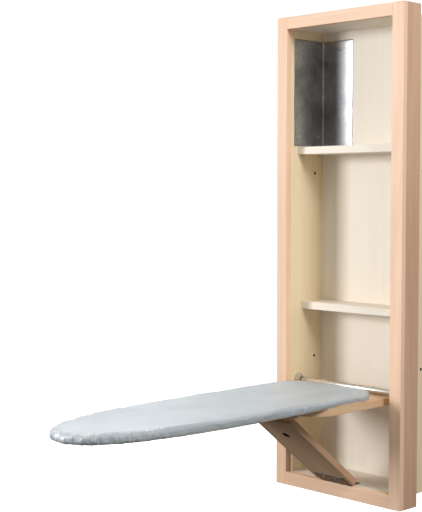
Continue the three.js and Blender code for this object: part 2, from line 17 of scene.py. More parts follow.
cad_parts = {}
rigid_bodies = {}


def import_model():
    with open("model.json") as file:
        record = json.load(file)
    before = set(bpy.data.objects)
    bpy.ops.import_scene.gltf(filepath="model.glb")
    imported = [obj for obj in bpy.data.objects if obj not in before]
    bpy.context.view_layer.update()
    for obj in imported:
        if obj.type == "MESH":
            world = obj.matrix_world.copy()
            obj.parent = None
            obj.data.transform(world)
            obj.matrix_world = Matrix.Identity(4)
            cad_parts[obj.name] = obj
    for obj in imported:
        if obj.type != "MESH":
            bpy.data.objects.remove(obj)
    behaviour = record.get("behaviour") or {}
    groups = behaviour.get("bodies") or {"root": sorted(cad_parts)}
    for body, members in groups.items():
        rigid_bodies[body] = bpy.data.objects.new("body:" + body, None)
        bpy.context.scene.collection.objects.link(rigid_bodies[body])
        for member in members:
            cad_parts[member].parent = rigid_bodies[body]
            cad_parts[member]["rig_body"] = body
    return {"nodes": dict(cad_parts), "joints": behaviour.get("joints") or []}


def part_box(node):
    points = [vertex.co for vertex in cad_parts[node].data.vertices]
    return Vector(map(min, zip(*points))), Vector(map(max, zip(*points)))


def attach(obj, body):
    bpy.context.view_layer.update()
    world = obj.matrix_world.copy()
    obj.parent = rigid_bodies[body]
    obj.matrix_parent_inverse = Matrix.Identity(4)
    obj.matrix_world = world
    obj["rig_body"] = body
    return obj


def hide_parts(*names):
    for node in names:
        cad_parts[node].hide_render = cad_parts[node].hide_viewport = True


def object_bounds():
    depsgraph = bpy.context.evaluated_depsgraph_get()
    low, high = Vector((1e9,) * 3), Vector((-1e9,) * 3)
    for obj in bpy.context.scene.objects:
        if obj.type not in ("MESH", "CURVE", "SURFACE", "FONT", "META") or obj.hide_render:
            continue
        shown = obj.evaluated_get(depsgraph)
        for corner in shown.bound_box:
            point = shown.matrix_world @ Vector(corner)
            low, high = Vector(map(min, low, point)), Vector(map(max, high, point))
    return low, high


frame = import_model()
CAD_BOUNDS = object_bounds()
NODES = frame["nodes"]
BODY_OF = {name: node["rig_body"] for name, node in NODES.items()}
JOINTS = {joint["name"]: joint for joint in frame["joints"]}
MM = 0.001
SEED = 7
# Points closer than these are one point, in turned metal pieces and in fabric.
TURNED_MERGE, FABRIC_MERGE = 0.004 * MM, 0.05 * MM

X_AXIS = Vector((1, 0, 0))
Y_AXIS = Vector((0, 1, 0))
Z_AXIS = Vector((0, 0, 1))

# ---------- Places read from the frame ----------
HINGE = Vector(JOINTS["leg_fold"]["pos_m"])
ROD_AXIS = Vector(JOINTS["board_fold"]["pos_m"])
# The leg swings from its rest to upright, so its range is also its lean.
LEG_LEAN = math.radians(JOINTS["leg_fold"]["range_deg"][1])
LEG_TURN = Matrix.Rotation(LEG_LEAN, 4, "X")
LEG_ALONG = (LEG_TURN @ Z_AXIS).normalized()
LEG_OUTWARD = (LEG_TURN @ -Y_AXIS).normalized()

# Holes as a point on the axis, the axis and the radius: for the screws into the wall studs, and in the leg.
STUD_HOLE_DEPTH, STUD_HOLE_HEIGHTS, STUD_HOLE_RADIUS = -47 * MM, (-356 * MM, 268 * MM), 4.5 * MM
FINGER_HOLE_UP_LEG, FINGER_HOLE_RADIUS = 303 * MM, 12.5 * MM
STUD_HOLES = [(Vector((0, STUD_HOLE_DEPTH, height)), X_AXIS, STUD_HOLE_RADIUS)
              for height in STUD_HOLE_HEIGHTS]
FINGER_HOLE = (HINGE + LEG_ALONG * FINGER_HOLE_UP_LEG, LEG_OUTWARD, FINGER_HOLE_RADIUS)


# ---------- Mesh helpers ----------
def add_mesh(name, vertices, faces):
    mesh = bpy.data.meshes.new(name)
    mesh.from_pydata([tuple(v) for v in vertices], [], faces)
    mesh.update()
    mesh.polygons.foreach_set("use_smooth", [True] * len(mesh.polygons))
    piece = bpy.data.objects.new(name, mesh)
    bpy.context.scene.collection.objects.link(piece)
    return piece


def stand_in(piece, material, slot, *nodes):
    """The piece takes a material, rides on the body of the nodes it stands for, and hides them."""
    piece.data.materials.append(material)
    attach(piece, BODY_OF[nodes[0]])
    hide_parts(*nodes)


def grid_faces(rows, columns, closed_columns=False):
    """Quads of a grid whose vertices are numbered row by row."""
    faces = []
    for i in range(rows - 1):
        for j in range(columns if closed_columns else columns - 1):
            j2 = (j + 1) % columns
            faces.append((i * columns + j, i * columns + j2, (i + 1) * columns + j2, (i + 1) * columns + j))
    return faces


def axis_frame(origin, direction):
    """A matrix that takes local +Z to a direction and the local origin to a point."""
    turn = Z_AXIS.rotation_difference(direction).to_matrix().to_4x4()
    return Matrix.Translation(origin) @ turn


def lathe(profile, origin, direction, segments):
    """Vertices and faces of (radius, height) pairs turned about a direction; the profile ends on the axis."""
    place = axis_frame(origin, direction)
    vertices = []
    for radius, height in profile:
        for j in range(segments):
            angle = 2 * math.pi * j / segments
            vertices.append(place @ Vector((radius * math.cos(angle), radius * math.sin(angle), height)))
    return vertices, grid_faces(len(profile), segments, closed_columns=True)


def joined(parts):
    """One list of vertices and one of faces from several."""
    vertices, faces = [], []
    for part_vertices, part_faces in parts:
        start = len(vertices)
        vertices.extend(part_vertices)
        faces.extend(tuple(start + i for i in face) for face in part_faces)
    return vertices, faces


def face_outwards(piece, merge=0.0, drop_slivers=False):
    """Points every face outwards, after merging points closer than a distance and dropping slivers."""
    bm = bmesh.new()
    bm.from_mesh(piece.data)
    if merge:
        bmesh.ops.remove_doubles(bm, verts=bm.verts, dist=merge)
    if drop_slivers:
        bmesh.ops.dissolve_degenerate(bm, edges=bm.edges, dist=merge)
    bmesh.ops.recalc_face_normals(bm, faces=bm.faces)
    bm.to_mesh(piece.data)
    bm.free()


def ease_edges(piece, width, segments=3, angle=32):
    """Rounds every sharp edge of a piece and keeps its flat faces flat in the shading."""
    bevel = piece.modifiers.new("eased_edges", "BEVEL")
    bevel.width = width
    bevel.segments = segments
    bevel.limit_method = "ANGLE"
    bevel.angle_limit = math.radians(angle)
    bevel.harden_normals = True


def dress_node(name, material, width, shift):
    """A CAD node that stays: merged facets, eased edges and its own stretch of the material."""
    node = NODES[name]
    mesh = node.data
    if "custom_normal" in mesh.attributes:
        mesh.attributes.remove(mesh.attributes["custom_normal"])
    mesh.polygons.foreach_set("use_smooth", [True] * len(mesh.polygons))
    weld = node.modifiers.new("weld", "WELD")
    weld.merge_threshold = 0.01 * MM
    flatten = node.modifiers.new("flatten", "DECIMATE")
    flatten.decimate_type = "DISSOLVE"
    flatten.angle_limit = math.radians(0.5)
    ease_edges(node, width)
    mesh.materials.clear()
    mesh.materials.append(material)
    node["piece_shift"] = shift


# ---------- Material helpers ----------
def srgb(red, green, blue):
    """A linear colour from a display colour given in 0 to 255."""
    def linear(value):
        value /= 255
        return value / 12.92 if value <= 0.04045 else ((value + 0.055) / 1.055) ** 2.4

    return (linear(red), linear(green), linear(blue), 1.0)


class Paint:
    """A material whose nodes are added by short calls. Every call returns an output socket."""

    def __init__(self, name):
        self.material = bpy.data.materials.new(name)
        self.material.use_nodes = True
        self.tree = self.material.node_tree
        self.surface = self.tree.nodes["Principled BSDF"]

    def feed(self, socket, value):
        if isinstance(value, bpy.types.NodeSocket):
            self.tree.links.new(value, socket)
        else:
            socket.default_value = value

    def node(self, kind, inputs, output=0, **settings):
        made = self.tree.nodes.new("ShaderNode" + kind)
        for key, value in settings.items():
            setattr(made, key, value)
        for socket, value in inputs.items():
            self.feed(made.inputs[socket], value)
        return made.outputs[output]

    def set(self, **inputs):
        for name, value in inputs.items():
            self.feed(self.surface.inputs[name.replace("_", " ")], value)
        return self.material

    def place(self):
        """Position in the row frame at rest, shifted by the piece's own amount."""
        position = self.node("TexCoord", {}, output=3)
        shift = self.node("Attribute", {}, output=1, attribute_type="OBJECT", attribute_name="piece_shift")
        return self.node("VectorMath", {0: position, 1: shift}, operation="ADD")

    def dot(self, vector, direction):
        return self.node("VectorMath", {0: vector, 1: tuple(direction)}, output=1, operation="DOT_PRODUCT")

    def calc(self, operation, first, second=0.0, clamp=False):
        return self.node("Math", {0: first, 1: second}, operation=operation, use_clamp=clamp)

    def vector(self, x, y, z):
        return self.node("CombineXYZ", {0: x, 1: y, 2: z})

    def stretched(self, vector, x, y, z):
        return self.node("VectorMath", {0: vector, 1: (x, y, z)}, operation="MULTIPLY")

    def noise(self, vector, scale, detail=2.0, roughness=0.5, distortion=0.0):
        inputs = {"Vector": vector, "Scale": scale, "Detail": detail, "Roughness": roughness,
                  "Distortion": distortion}
        return self.node("TexNoise", inputs)

    def span(self, value, low, high, to_low=0.0, to_high=1.0):
        """Value taken smoothly from one range to another and held at its ends."""
        inputs = {"Value": value, "From Min": low, "From Max": high, "To Min": to_low, "To Max": to_high}
        return self.node("MapRange", inputs, interpolation_type="SMOOTHSTEP")

    def mix(self, factor, first, second):
        return self.node("Mix", {0: factor, 6: first, 7: second}, output=2, data_type="RGBA")

    def bump(self, height, distance, strength=1.0, normal=None):
        inputs = {"Height": height, "Distance": distance, "Strength": strength}
        if normal is not None:
            inputs["Normal"] = normal
        return self.node("Bump", inputs)


def grain_space(paint, along):
    """Coordinates in metres with the third one running along the grain."""
    side = along.cross(Y_AXIS if abs(along.y) < 0.9 else X_AXIS).normalized()
    up = along.cross(side)
    place = paint.place()
    return paint.vector(paint.dot(place, side), paint.dot(place, up), paint.dot(place, along))


# Painted shade for the inside of drilled holes, where shade falls.
HOLE_PAINTED_SHADE = srgb(46, 33, 25)


def wood(name, light, dark, along, figure=0.5, fibre=0.5, holes=()):
    """Pale close-grained wood: ring figure, fine fibres, short pores and slow mottling.

    Holes, each given by a point, an axis and a radius, get painted shade inside them and on a thin ring round
    each.
    """
    paint = Paint(name)
    space = grain_space(paint, along)
    broad = paint.noise(paint.stretched(space, 9, 9, 0.55), 1.0, detail=1.5, distortion=0.25)
    rings = paint.calc("PINGPONG", paint.calc("MULTIPLY", broad, 17.0), 1.0)
    rings = paint.span(rings, 0.1, 1.0)
    fibres = paint.noise(paint.stretched(space, 520, 520, 9), 1.0, detail=3.0, roughness=0.65)
    streaks = paint.noise(paint.stretched(space, 95, 95, 1.6), 1.0, detail=2.0)
    pores = paint.noise(paint.stretched(space, 1500, 1500, 75), 1.0, detail=1.0)
    pores = paint.span(pores, 0.66, 0.74)
    clouds = paint.noise(paint.stretched(space, 7, 7, 2.2), 1.0, detail=2.0)
    shade = paint.calc("MULTIPLY", rings, 0.42 * figure)
    shade = paint.calc("ADD", shade, paint.calc("MULTIPLY", paint.span(fibres, 0.3, 0.75), 0.45 * fibre))
    shade = paint.calc("ADD", shade, paint.calc("MULTIPLY", paint.span(streaks, 0.35, 0.7), 0.4 * fibre))
    shade = paint.calc("ADD", shade, paint.calc("MULTIPLY", paint.span(clouds, 0.3, 0.7), 0.25))
    shade = paint.calc("ADD", shade, paint.calc("MULTIPLY", pores, 0.22 * fibre), clamp=True)
    colour = paint.mix(shade, light, dark)
    # Painted shade: the inside of each hole and a thin ring round its rim are darkened towards
    # HOLE_PAINTED_SHADE.
    for point, axis, radius in holes:
        position = paint.node("TexCoord", {}, output=3)
        offset = paint.node("VectorMath", {0: position, 1: tuple(point)}, operation="SUBTRACT")
        across = paint.node("VectorMath", {0: offset, 1: tuple(axis)}, operation="CROSS_PRODUCT")
        distance = paint.node("VectorMath", {0: across}, output=1, operation="LENGTH")
        clear = paint.span(distance, radius * 1.02, radius * 1.15)
        colour = paint.mix(clear, HOLE_PAINTED_SHADE, colour)
    gloss = paint.span(fibres, 0.2, 0.8, 0.44, 0.6)
    relief = paint.calc("SUBTRACT", fibres, paint.calc("MULTIPLY", pores, 0.6))
    normal = paint.bump(relief, 0.05 * MM, 0.6)
    return paint.set(Base_Color=colour, Roughness=gloss, Normal=normal)


def cut_metal(name, bright, dull, roughness, scratch_along, clouds=26.0, scratch=0.5, metallic=1.0):
    """Bare metal with cloudy patches and fine scratches along one direction."""
    paint = Paint(name)
    space = grain_space(paint, scratch_along)
    patches = paint.noise(space, clouds, detail=4.0, roughness=0.6, distortion=0.6)
    lines = paint.noise(paint.stretched(space, 2600, 2600, 30), 1.0, detail=2.0)
    specks = paint.noise(space, 900.0, detail=2.0)
    shade = paint.span(patches, 0.32, 0.68)
    colour = paint.mix(shade, bright, dull)
    rough = paint.calc("ADD", paint.span(patches, 0.3, 0.7, roughness, roughness * 1.7),
                       paint.calc("MULTIPLY", specks, 0.08))
    normal = paint.bump(lines, 0.01 * MM, scratch)
    return paint.set(Base_Color=colour, Roughness=rough, Normal=normal, Metallic=metallic)


def metal_cloth(name):
    """Cotton with a metallised face: a fine plain weave, soft sheen and faint handling marks."""
    paint = Paint(name)
    place = paint.place()
    thread = 0.55 * MM
    wobble = paint.noise(place, 60.0, detail=2.0)
    heights = []
    for direction in (X_AXIS, Y_AXIS, Z_AXIS):
        turns = paint.calc("MULTIPLY", paint.dot(place, direction), 2 * math.pi / thread)
        turns = paint.calc("ADD", turns, paint.calc("MULTIPLY", wobble, 5.0))
        heights.append(paint.calc("SINE", turns))
    weave = paint.calc("MULTIPLY", heights[0], heights[1])
    weave = paint.calc("ADD", weave, paint.calc("MULTIPLY", heights[2], 0.35))
    slubs = paint.noise(paint.stretched(place, 1400, 160, 1400), 1.0, detail=2.0)
    clouds = paint.noise(paint.stretched(place, 7, 3, 7), 1.0, detail=3.0)
    rubbed = paint.noise(place, 14.0, detail=4.0, roughness=0.6)
    colour = paint.mix(paint.span(clouds, 0.3, 0.7), srgb(200, 209, 216), srgb(188, 198, 206))
    colour = paint.mix(paint.span(slubs, 0.35, 0.8, 0.0, 0.35), colour, srgb(172, 182, 191))
    rough = paint.calc("ADD", paint.span(rubbed, 0.3, 0.7, 0.42, 0.52), paint.calc("MULTIPLY", slubs, 0.06))
    normal = paint.bump(weave, 0.035 * MM, 0.35)
    normal = paint.bump(slubs, 0.03 * MM, 0.3, normal)
    return paint.set(Base_Color=colour, Roughness=rough, Normal=normal, Metallic=0.3)


def felt(name):
    """Off-white needled felt."""
    paint = Paint(name)
    place = paint.place()
    tufts = paint.noise(place, 900.0, detail=4.0, roughness=0.7)
    patches = paint.noise(place, 30.0, detail=2.0)
    colour = paint.mix(paint.span(patches, 0.3, 0.7), srgb(232, 228, 216), srgb(214, 209, 196))
    colour = paint.mix(paint.span(tufts, 0.45, 0.8, 0.0, 0.4), colour, srgb(180, 176, 166))
    return paint.set(Base_Color=colour, Roughness=0.95, Normal=paint.bump(tufts, 0.3 * MM, 0.8))


FRAME_LIGHT, FRAME_DARK = srgb(245, 211, 184), srgb(228, 187, 155)
PANEL_LIGHT, PANEL_DARK = srgb(244, 237, 226), srgb(232, 221, 205)
SIDE_LIGHT, SIDE_DARK = srgb(238, 223, 192), srgb(224, 203, 164)
SURROUND_LIGHT, SURROUND_DARK = srgb(212, 176, 150), srgb(184, 145, 118)
LEG_LIGHT, LEG_DARK = srgb(208, 174, 144), srgb(172, 134, 104)
WOODS = {
    "frame_up": wood("frame_wood_up", FRAME_LIGHT, FRAME_DARK, Z_AXIS),
    "frame_across": wood("frame_wood_across", FRAME_LIGHT, FRAME_DARK, X_AXIS),
    "side_up": wood("surround_wood_up", SURROUND_LIGHT, SURROUND_DARK, Z_AXIS),
    "side_across": wood("surround_wood_across", SURROUND_LIGHT, SURROUND_DARK, X_AXIS),
    "back_up": wood("back_wood_up", PANEL_LIGHT, PANEL_DARK, Z_AXIS, figure=0.2, fibre=0.35),
    "panel_up": wood("panel_wood_up", SIDE_LIGHT, SIDE_DARK, Z_AXIS, figure=0.4, fibre=0.4),
    "drilled_up": wood("drilled_wood_up", SIDE_LIGHT, SIDE_DARK, Z_AXIS, 0.3, 0.4, holes=STUD_HOLES),
    "panel_across": wood("panel_wood_across", PANEL_LIGHT, PANEL_DARK, X_AXIS, figure=0.4, fibre=0.4),
    "plate": wood("plate_wood", srgb(232, 200, 166), srgb(204, 164, 124), Y_AXIS),
    "block": wood("block_wood", LEG_LIGHT, LEG_DARK, X_AXIS),
    "leg": wood("leg_wood", LEG_LIGHT, LEG_DARK, LEG_ALONG, figure=0.7, holes=[FINGER_HOLE]),
    "core": wood("core_wood", srgb(222, 200, 168), srgb(192, 164, 128), Y_AXIS, figure=0.8),
}
TUBE_METAL = cut_metal("polished_tube", srgb(244, 243, 240), srgb(232, 230, 226), 0.2, X_AXIS, scratch=0.15)
SCREW_METAL = cut_metal("screw_steel", srgb(226, 222, 214), srgb(196, 191, 182), 0.3, Z_AXIS, 260.0,
                        metallic=0.7)
# Painted shade: the hinge's steel gets dark brown-grey colours, as it sits in shade at the foot of the leg.
HINGE_METAL_SHADED = cut_metal("hinge_steel_shaded", srgb(150, 134, 122), srgb(112, 98, 88), 0.36, X_AXIS, clouds=120.0)
SOCKET_METAL = cut_metal("socket_zinc", srgb(214, 207, 188), srgb(196, 188, 168), 0.45, Z_AXIS, 90.0,
                         metallic=0.3)
SHEET = cut_metal("rolled_sheet", srgb(190, 192, 196), srgb(152, 155, 160), 0.22, Z_AXIS, clouds=11.0,
                  scratch=0.3)
CLOTH = metal_cloth("metallised_cotton")
FELT = felt("needled_felt")


# ---------- Wooden pieces ----------
WOOD_OF = {
    "frame_up": ["left_stile", "right_stile"],
    "frame_across": ["top_rail", "bottom_rail"],
    "side_up": ["surround_left", "surround_right"],
    "side_across": ["surround_top", "surround_bottom"],
    "back_up": ["back_panel"],
    "panel_up": ["rod_cleat_left", "rod_cleat_right"],
    "drilled_up": ["left_side_panel", "right_side_panel"],
    "panel_across": ["top_panel", "bottom_panel", "upper_shelf", "lower_shelf"],
    "plate": ["mounting_plate"],
    "block": ["leg_stop_block"],
    "leg": ["leg_panel"],
    "core": ["board_core"],
}
# How wide the eased edges are: by a word in the node's name, or else plain.
PLAIN_EDGE = 0.9 * MM
EDGE_WIDTHS = {"side_panel": 0.4 * MM, "back_panel": 0.3 * MM, "cleat": 0.8 * MM, "plate": 1.6 * MM,
               "leg_panel": 1.3 * MM, "shelf": 1.2 * MM, "board_core": 8 * MM}


def dress_woods():
    draws = random.Random(SEED)
    for wood_name, names in WOOD_OF.items():
        for name in names:
            shift = [draws.uniform(0, 3) for _ in range(3)]
            widths = [width for part, width in EDGE_WIDTHS.items() if part in name]
            dress_node(name, WOODS[wood_name], widths[0] if widths else PLAIN_EDGE, shift)


# ---------- Screws, pins and tubes ----------
def ball_arc(radius, height, start, end, steps):
    """Points of a quarter ellipse from angle start to end, as (radius, height)."""
    points = []
    for i in range(steps + 1):
        angle = math.radians(start + (end - start) * i / steps)
        points.append((radius * math.cos(angle), height * math.sin(angle)))
    return points


def screw_mesh(apex, facing, head, rise, length, shank):
    """A pan-head screw with a cross recess; the apex is the middle of the head's crown."""
    columns, rings = 64, 14
    place = axis_frame(apex - facing * rise, facing)
    vertices = []
    arm_half, arm_reach, recess = 0.13 * head, 0.62 * head, 0.62 * rise
    for i in range(rings + 1):
        share = i / rings
        radius = head * math.sin(share * math.pi / 2)
        dome = rise * (0.42 + 0.58 * math.sqrt(max(0.0, 1 - (radius / head) ** 2)))
        for j in range(columns):
            angle = 2 * math.pi * j / columns
            x, y = radius * math.cos(angle), radius * math.sin(angle)
            near, far = min(abs(x), abs(y)), max(abs(x), abs(y))
            inside = 1 / (1 + math.exp((near - arm_half) / (0.035 * head)))
            inside *= 1 / (1 + math.exp((far - arm_reach) / (0.05 * head)))
            vertices.append(place @ Vector((x, y, dome - recess * inside)))
    parts = [(vertices, grid_faces(rings + 1, columns, closed_columns=True))]
    side = [(head, 0.42 * rise), (head, 0.12 * rise), (head * 0.96, 0.0), (shank, 0.0)]
    steps = 22
    for i in range(steps):
        height = -length * 0.85 * (i + 1) / steps
        side.append((shank * (0.8 if i % 2 else 1.0), height))
    side.append((0.0, -length))
    parts.append(lathe(side, apex - facing * rise, facing, columns))
    return joined(parts)


def screw_facing(name):
    if name.startswith("iron_plate") or (name.startswith(("socket", "cleat")) and "left" in name):
        return X_AXIS
    if name.startswith(("socket", "cleat")):
        return -X_AXIS
    if name.startswith("leg_leaf"):
        return LEG_OUTWARD
    return -Z_AXIS if name.startswith("board_screw") else Z_AXIS


def add_screws():
    draws = random.Random(SEED)
    for name in sorted(n for n in NODES if "screw" in n):
        facing = screw_facing(name)
        points = [v.co.copy() for v in NODES[name].data.vertices]
        heights = [p.dot(facing) for p in points]
        apex = points[heights.index(max(heights))]
        radii = [((p - apex) - facing * (p - apex).dot(facing)).length for p in points]
        head = max(radii)
        under = min(h for h, r in zip(heights, radii) if r > head * 0.97)
        rise = max(heights) - under
        length = under - min(heights)
        shank = max(r for h, r in zip(heights, radii) if h < under - rise)
        vertices, faces = screw_mesh(Vector((0, 0, 0)), Z_AXIS, head, rise, length, shank)
        place = axis_frame(apex, facing) @ Matrix.Rotation(draws.uniform(0, math.pi / 2), 4, "Z")
        piece = add_mesh(f"{name}_fine", [place @ v for v in vertices], faces)
        face_outwards(piece, TURNED_MERGE, drop_slivers=True)
        stand_in(piece, SCREW_METAL, "hardware_steel", name)


def add_round(name, profile, origin, direction, material, slot, *nodes, segments=64):
    piece = add_mesh(name, *lathe(profile, origin, direction, segments))
    face_outwards(piece, TURNED_MERGE, drop_slivers=True)
    stand_in(piece, material, slot, *nodes)


def add_tube():
    low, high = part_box("pivot_rod")
    radius = (high.z - low.z) / 2
    wall, chamfer = 1.5 * MM, 0.4 * MM
    length = high.x - low.x
    profile = []
    for height, side in ((0, 1), (length, -1)):
        ends = [(radius - wall, height + side * chamfer), (radius - wall + chamfer, height),
                (radius - chamfer, height), (radius, height + side * chamfer)]
        profile.extend(ends if side > 0 else reversed(ends))
    profile.append(profile[0])
    origin = Vector((low.x, ROD_AXIS.y, ROD_AXIS.z))
    add_round("pivot_rod_tube", profile, origin, X_AXIS, TUBE_METAL, "polished_tube", "pivot_rod",
              segments=96)


def add_sockets():
    for side, facing in (("left", X_AXIS), ("right", -X_AXIS)):
        low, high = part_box(f"rod_socket_{side}")
        flange = (high.z - low.z) / 2
        depth = high.x - low.x
        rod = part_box("pivot_rod")
        bore = (rod[1].z - rod[0].z) / 2 + 0.4 * MM
        collar, plate, soft = bore + 3.1 * MM, 3 * MM, 0.9 * MM
        profile = [(bore, 0), (flange, 0)]
        profile += [(flange - soft + r, plate - soft + h) for r, h in ball_arc(soft, soft, 0, 90, 4)]
        profile += [(collar + soft - r, plate + soft - h) for r, h in ball_arc(soft, soft, 90, 0, 4)]
        profile += [(collar - soft + r, depth - soft + h) for r, h in ball_arc(soft, soft, 0, 90, 4)]
        profile += [(bore + 0.3 * MM, depth), (bore, depth - 0.3 * MM), (bore, 0)]
        wall = low.x if side == "left" else high.x
        origin = Vector((wall, ROD_AXIS.y, ROD_AXIS.z))
        add_round(f"rod_socket_{side}_turned", profile, origin, facing, SOCKET_METAL, "hardware_steel",
                  f"rod_socket_{side}")


def add_shelf_pins():
    for name in sorted(n for n in NODES if n.startswith("shelf_pin")):
        low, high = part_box(name)
        radius = (high.z - low.z) / 2
        facing = X_AXIS if name.endswith("left") else -X_AXIS
        start = low.x if facing.x > 0 else high.x
        length = high.x - low.x
        profile = [(0, 0), (radius, 0), (radius, length - radius)]
        profile += [(r, length - radius + h) for r, h in ball_arc(radius, radius, 0, 90, 8)]
        origin = Vector((start, (low.y + high.y) / 2, (low.z + high.z) / 2))
        add_round(f"{name}_turned", profile, origin, facing, SCREW_METAL, "hardware_steel", name, segments=32)


# ---------- Hinge at the foot of the leg ----------
LEAF_THICK = 2 * MM
# The leg's barrel fills the middle of the hinge, to this far either side of its centre.
BARREL_SPLIT = 28 * MM


def rounded_plate(x_half, y0, y1, thick, corner, steps=6):
    """A plate in X and Y whose far corners are rounded, from height 0 to its thickness."""
    outline = [(-x_half, y0), (x_half, y0)]
    for centre_x, start in ((x_half - corner, 0), (corner - x_half, 90)):
        outline += [(centre_x + x, y1 - corner + y) for x, y in
                    (ball_arc(corner, corner, start, start + 90, steps))]
    count = len(outline)
    vertices = [Vector((x, y, z)) for z in (0.0, thick) for x, y in outline]
    faces = [tuple(reversed(range(count))), tuple(range(count, 2 * count))]
    faces += [(i, (i + 1) % count, count + (i + 1) % count, count + i) for i in range(count)]
    return vertices, faces


def barrel_mesh(x0, x1, radius, bore):
    soft = 0.35 * MM
    length = x1 - x0
    profile = [(bore, 0), (radius - soft, 0), (radius, soft), (radius, length - soft),
               (radius - soft, length), (bore, length), (bore, 0)]
    return lathe(profile, Vector((x0, 0, 0)), X_AXIS, 40)


def add_hinge():
    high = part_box("hinge_floor_leaf")[1]
    half = high.x
    barrel = high.z - HINGE.z
    reach = high.y - HINGE.y
    pin_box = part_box("hinge_pin")
    pin = (pin_box[1].z - pin_box[0].z) / 2
    bore, split, gap = pin + 0.3 * MM, BARREL_SPLIT, 0.3 * MM
    # The leaf on the cabinet's floor runs inwards, and the leaf on the leg runs up its outer face.
    floor_place = Matrix.Translation(HINGE - Vector((0, 0, barrel)))
    up_leg = Matrix.Translation(HINGE) @ LEG_TURN @ Matrix(
        ((1, 0, 0, 0), (0, 0, 1, -barrel), (0, 1, 0, 0), (0, 0, 0, 1)))
    leaves = [
        ("hinge_floor_leaf", floor_place, Matrix.Translation(HINGE), [(-half, -split), (split, half)]),
        ("hinge_leg_leaf", up_leg, Matrix.Translation(HINGE) @ LEG_TURN, [(gap - split, split - gap)]),
    ]
    for name, plate_place, barrel_place, spans in leaves:
        parts = []
        vertices, faces = rounded_plate(half, barrel * 0.9, reach, LEAF_THICK, 4 * MM)
        parts.append(([plate_place @ v for v in vertices], faces))
        for x0, x1 in spans:
            # A tongue joins each barrel to its leaf.
            vertices, faces = rounded_plate((x1 - x0) / 2, 0, barrel * 1.2, LEAF_THICK, 0.2 * MM, 1)
            middle = Matrix.Translation(((x0 + x1) / 2, 0, 0))
            parts.append(([plate_place @ middle @ v for v in vertices], faces))
            vertices, faces = barrel_mesh(x0, x1, barrel, bore)
            parts.append(([barrel_place @ v for v in vertices], faces))
        piece = add_mesh(f"{name}_fine", *joined(parts))
        face_outwards(piece)
        ease_edges(piece, 0.35 * MM, 2, 40)
        stand_in(piece, HINGE_METAL_SHADED, "hardware_steel", name)
    profile = [(0, 0), (pin * 0.7, 0), (pin, pin * 0.3), (pin, 2 * half - pin * 0.3), (pin * 0.7, 2 * half),
               (0, 2 * half)]
    add_round("hinge_pin_turned", profile, Vector((-half, HINGE.y, HINGE.z)), X_AXIS, TUBE_METAL,
              "hardware_steel", "hinge_pin", segments=32)


# ---------- Iron rest: a thin sheet bent into the corner ----------
def add_iron_rest():
    low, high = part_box("iron_rest_plate")
    bend, thick = 6 * MM, 0.9 * MM
    # How far each leaf bows off its wall in the middle, on top of the gap that it has everywhere.
    side_bow, back_bow, off_wall = 1.6 * MM, 0.45 * MM, 1.2 * MM
    wall_run = high.y - low.y - bend
    arc = bend * math.pi / 2
    total = wall_run + arc + (high.x - low.x) - bend
    columns, rows = 150, 90
    vertices = []
    for i in range(rows):
        up = i / (rows - 1)
        height = low.z + (high.z - low.z) * up
        patch = 0.75 + 0.55 * noise.noise(Vector((0.4, 5.0, height * 13)))
        for j in range(columns):
            along = total * j / (columns - 1)
            if along < wall_run:
                point, normal = Vector((low.x, low.y + along, height)), X_AXIS
                share = along / wall_run
                lift = side_bow * math.sin(math.pi * share) ** 2
            elif along < wall_run + arc:
                angle = (along - wall_run) / bend
                point = Vector((low.x + bend * (1 - math.cos(angle)),
                                high.y - bend + bend * math.sin(angle), height))
                normal = Vector((math.cos(angle), -math.sin(angle), 0))
                lift = 0.0
            else:
                run = along - wall_run - arc
                share = run / (total - wall_run - arc)
                point, normal = Vector((low.x + bend + run, high.y, height)), -Y_AXIS
                lift = back_bow * patch * math.sin(math.pi * share ** 1.3) ** 1.3
            ripple = noise.noise(Vector((along * 9, height * 7, 1.7))) * 0.7 * MM
            ripple *= min(1.0, abs(along - wall_run - arc / 2) / (25 * MM))
            lift = off_wall + max(0.0, lift + ripple + 0.35 * MM)
            lift *= 0.35 + 0.65 * min(1.0, min(up, 1 - up) * 14 + 0.4)
            edge = 1 - min(1.0, along / (14 * MM))
            wander = noise.noise(Vector((height * 11, 3.1, 0.0))) * 2.2 * MM * edge
            vertices.append(point + normal * lift + Vector((0, wander, 0)))
    piece = add_mesh("iron_rest_sheet", vertices, grid_faces(rows, columns))
    solidify = piece.modifiers.new("sheet", "SOLIDIFY")
    solidify.thickness = thick
    solidify.offset = -1
    stand_in(piece, SHEET, "sheet_metal", "iron_rest_plate")


